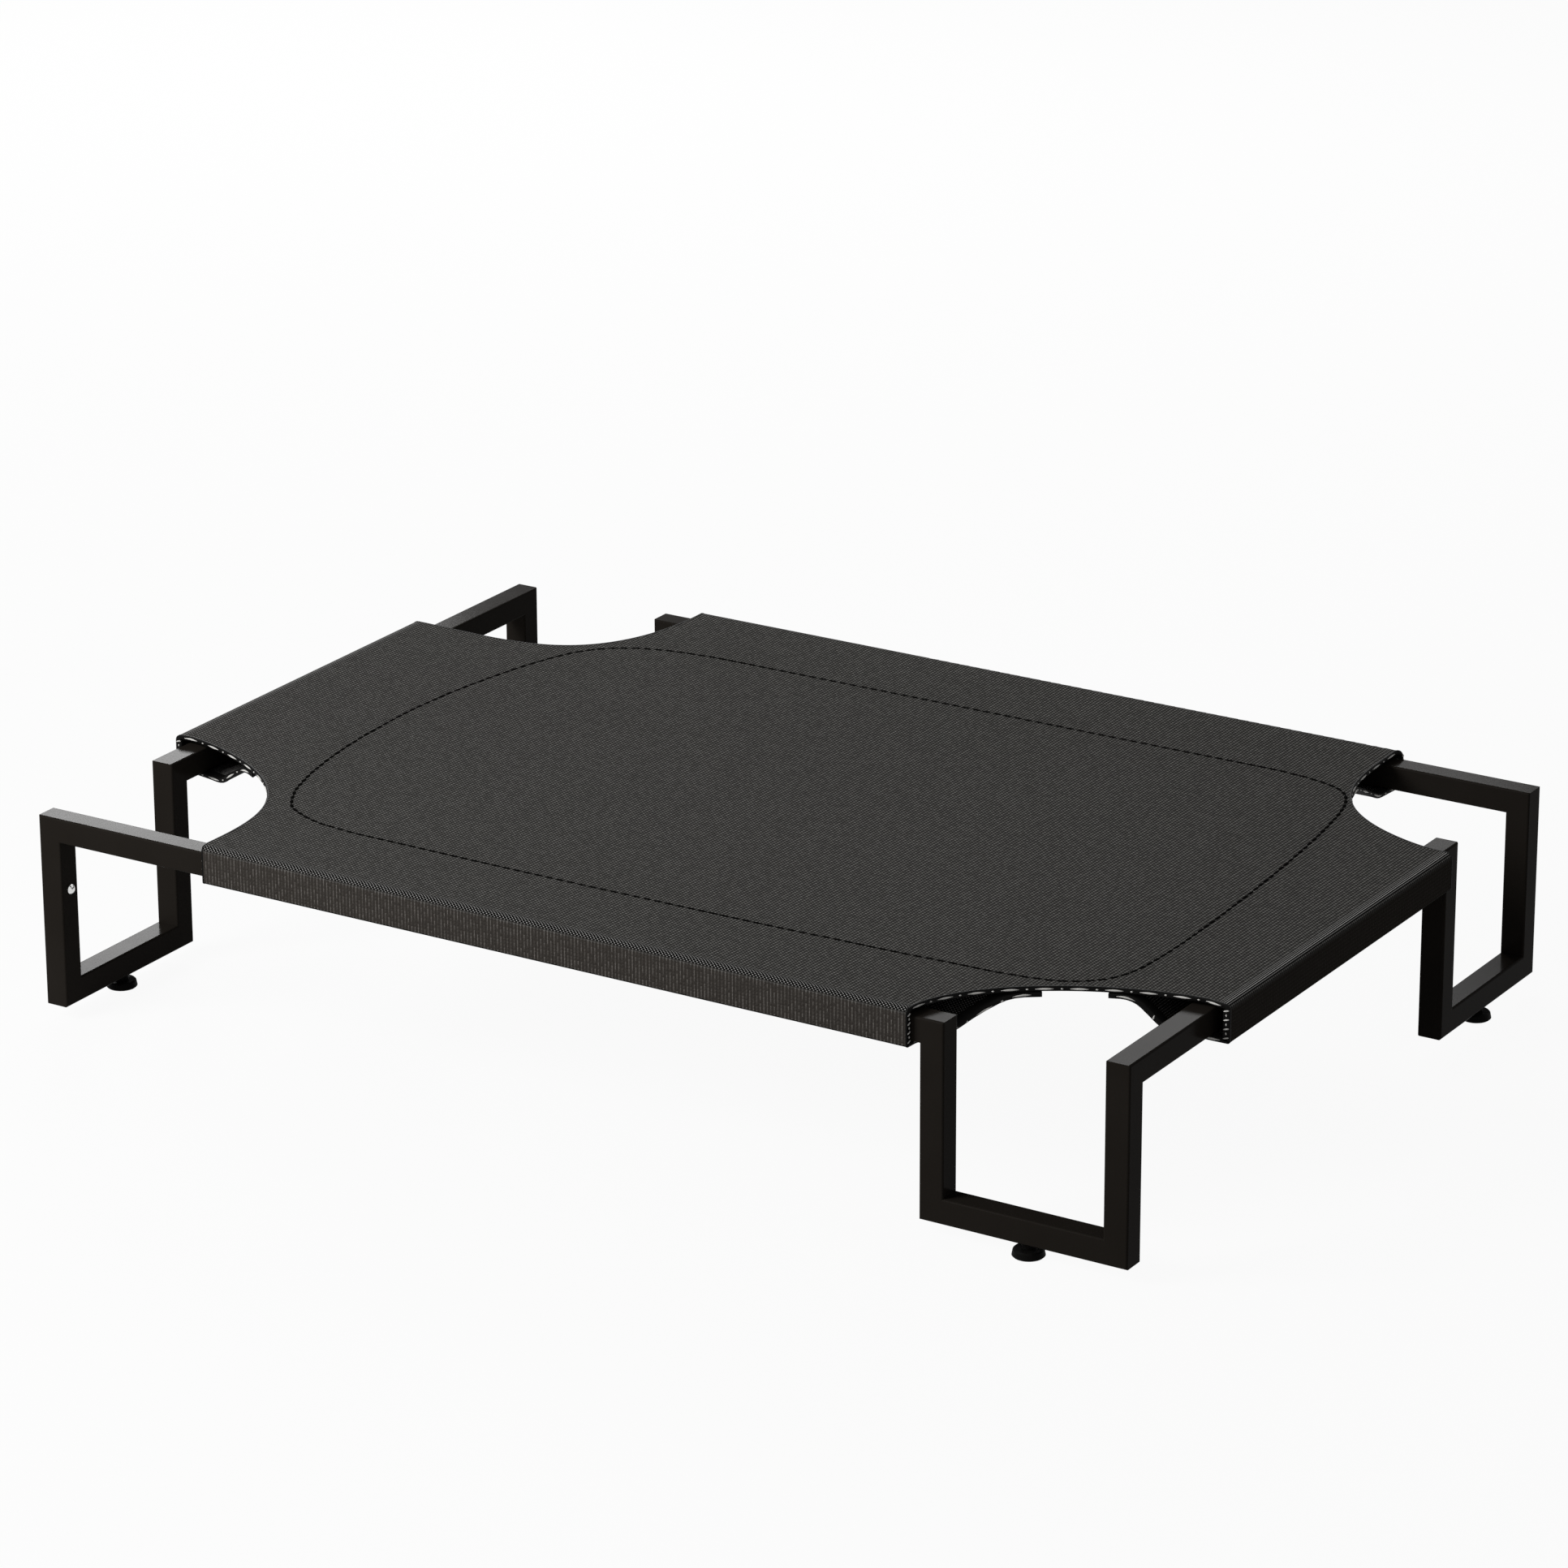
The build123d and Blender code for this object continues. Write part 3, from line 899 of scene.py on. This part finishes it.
def smooth_loop(points, steps):
    """Points of the smooth closed curve through the given ones."""
    knots = [Vector((*point, 0)) for point in points]
    count = len(knots)
    handles = []
    for k, knot in enumerate(knots):
        before, after = knots[k - 1], knots[(k + 1) % count]
        direction = (after - before).normalized()
        handles.append((
            knot - direction * (knot - before).length / 3,
            knot + direction * (after - knot).length / 3,
        ))
    curve = []
    for k in range(count):
        j = (k + 1) % count
        curve += interpolate_bezier(knots[k], handles[k][1], handles[j][0], knots[j], steps)[:-1]
    return curve


def make_seam(material):
    """Dark lockstitch on top of the panel, where the sleeves are sewn back to it, over a thin dark line
    of painted shade for the seam's groove.
    """
    curve = smooth_loop(SEAM_POINTS, SEAM_CURVE_STEPS)
    curve.append(curve[0])
    upward = Vector((0, 0, 1))
    edge = []
    run = 0.0
    for k, point in enumerate(curve):
        if k:
            run += (point - curve[k - 1]).length
        place = Vector((point.x, point.y, SLING_TOP - sag(point.x, point.y)))
        edge.append((place, upward, upward, run))
    count = round(run / SEAM_PITCH)
    step = run / count
    shares = [i / (SEAM_STITCH_POINTS - 1) - 0.5 for i in range(SEAM_STITCH_POINTS)]
    normals = [upward] * SEAM_STITCH_POINTS
    bm = bmesh.new()
    for k in range(count):
        middle = (k + 0.5) * step
        # Each stitch with a stretch of the thin dark line under it, painted shade of the seam's groove
        for length, half_width, half_height, fullness in (
            (SEAM_STITCH, SEAM_WIDTH, SEAM_HEIGHT, BLUNT_ENDS),
            (step, GROOVE_SHADE_WIDTH, GROOVE_SHADE_HEIGHT, SQUARE_ENDS),
        ):
            runs = [min(max(middle + length * share, 0.0), run) for share in shares]
            places = [at_run(edge, place_run)[0] for place_run in runs]
            sew(bm, places, normals, half_width, half_height, fullness)
    bmesh.ops.recalc_face_normals(bm, faces=bm.faces)
    seam = new_object("sling_seam", mesh_from(bm, "sling_seam"))
    seam.data.materials.append(material)
    return seam


def dress_sling():
    """The sling with its hems and stitches, on the frame."""
    cloth = cut_cloth()
    # The outside gets a painted highlight on the rolled edges, the reverse painted light on the flaps
    sling, area = make_sling(cloth, sling_mesh("sling_mesh", "fold"), sling_mesh("sling_reverse", "flap"))
    hem_material = hem_band()
    white = thread("white_thread", (0.50, 0.49, 0.46), (0.86, 0.85, 0.82), 0.45, 0.4)
    black = thread("black_thread", (0.0015, 0.0014, 0.0013), (0.004, 0.0038, 0.0036), 0.8, 0.002)
    pieces = [make_seam(black)]
    for name, chain in cloth.chains.items():
        edge = along_chain(cloth, chain)
        pieces.append(make_hem(f"sling_hem_{name}", edge, hem_material))
        pieces.append(hem_stitches(f"sling_stitches_{name}", edge, white))
    for piece in (sling, *pieces):
        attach(piece, "root")
    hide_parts("sleeping_panel", *SLEEVES)
    length, width = 2 * PANEL_X, 2 * PANEL_Y
    for name, section in SECTIONS.items():
        if SLEEVES[name].along_x:
            width += section[-1][0]
        else:
            length += section[-1][0]


def dress_frame():
    """Finishes of the pieces that the frame brings."""
    by_slot = {
        "powder_coat": powder_coat(),
        "foot_plastic": foot_plastic(),
        "button_steel": plated_steel("button_steel", (0.60, 0.60, 0.59), (0.80, 0.80, 0.79), 0.24),
        "bare_steel": plated_steel("bare_steel", (0.34, 0.34, 0.33), (0.50, 0.50, 0.49), 0.38),
    }
    for part in frame["record"]["subparts"]:
        material = by_slot.get(part["material_slot"])
        node = frame["nodes"][part["node"]]
        if material:
            node.data.materials.clear()
            node.data.materials.append(material)
    bend_springs()


def bend_springs():
    """Copies of the frame's snap springs as leaf objects of their own, in place of the frame's, which are
    hidden.
    """
    bpy.context.view_layer.update()
    for leg in LEGS:
        node = frame["nodes"][f"{leg}_snap_spring"]
        leaf = new_object(f"{leg}_snap_leaf", node.data.copy())
        leaf.matrix_world = node.matrix_world
        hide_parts(node.name)
        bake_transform(leaf)


def soft_box(name, place, size, power):
    """Area light that looks at the object."""
    data = bpy.data.lights.new(name, "AREA")
    data.shape = "RECTANGLE"
    data.size, data.size_y = size
    data.energy = power
    lamp = new_object(name, data)
    lamp.location = place
    lamp.rotation_euler = (Vector(LIGHT_TARGET) - lamp.location).to_track_quat("-Z", "Y").to_euler()


def seen_white(n):
    """1 for what the camera sees, straight or in a reflection, and 0 for light that falls on things."""
    path = n.add("ShaderNodeLightPath").outputs
    seen = n.maths("ADD", path["Is Camera Ray"], path["Is Glossy Ray"])
    return n.maths("ADD", seen, path["Is Transmission Ray"], clamp=True)


def floor_paper():
    """White studio paper that keeps a faint shadow of the object."""
    n = new_material("floor_paper")
    n.finish((0.62, 0.62, 0.62, 1), 0.9, Specular_IOR_Level=0.1)
    glow = n.add("ShaderNodeEmission", Color=(1, 1, 1, 1), Strength=1.0)
    both = n.add("ShaderNodeMixShader", Fac=n.maths("MULTIPLY", seen_white(n), FLOOR_GLOW))
    n.put(both, "1", n.shader.outputs["BSDF"])
    n.put(both, "2", glow.outputs["Emission"])
    n.put(n.tree.nodes["Material Output"], "Surface", both.outputs["Shader"])
    return n.owner


def studio():
    """White floor and backdrop, soft light all round and soft boxes."""
    bm = bmesh.new()
    bmesh.ops.create_grid(bm, x_segments=1, y_segments=1, size=FLOOR_SIZE)
    floor = new_object("floor", mesh_from(bm, "floor"))
    floor.data.materials.append(floor_paper())
    n = Nodes(bpy.data.worlds.new("studio"))
    strength = n.spread(seen_white(n), SKY_LIGHT, 1.0)
    bpy.context.scene.world = n.finish(Color=(1, 1, 1, 1), Strength=strength)
    for name, (place, size, power) in SOFT_BOXES.items():
        soft_box(name, place, size, power)


def camera():
    """Camera at the fitted place."""
    forward = Vector((
        -math.sin(CAMERA_AZIMUTH) * math.cos(CAMERA_ELEVATION),
        math.cos(CAMERA_AZIMUTH) * math.cos(CAMERA_ELEVATION),
        -math.sin(CAMERA_ELEVATION),
    ))
    level = Vector((math.cos(CAMERA_AZIMUTH), math.sin(CAMERA_AZIMUTH), 0))
    right = level * math.cos(CAMERA_ROLL) + level.cross(forward) * math.sin(CAMERA_ROLL)
    up = right.cross(forward)
    data = bpy.data.cameras.new("camera")
    data.lens = CAMERA_LENS
    data.sensor_width = SENSOR
    data.clip_end = CAMERA_FAR
    made = new_object("camera", data)
    turned = Matrix((right, up, -forward)).transposed().to_4x4()
    made.matrix_world = Matrix.Translation(CAMERA_EYE) @ turned
    bpy.context.scene.camera = made


dress_frame()
dress_sling()
studio()
camera()
bpy.context.scene.view_settings.view_transform = "Standard"

bpy.context.view_layer.update()
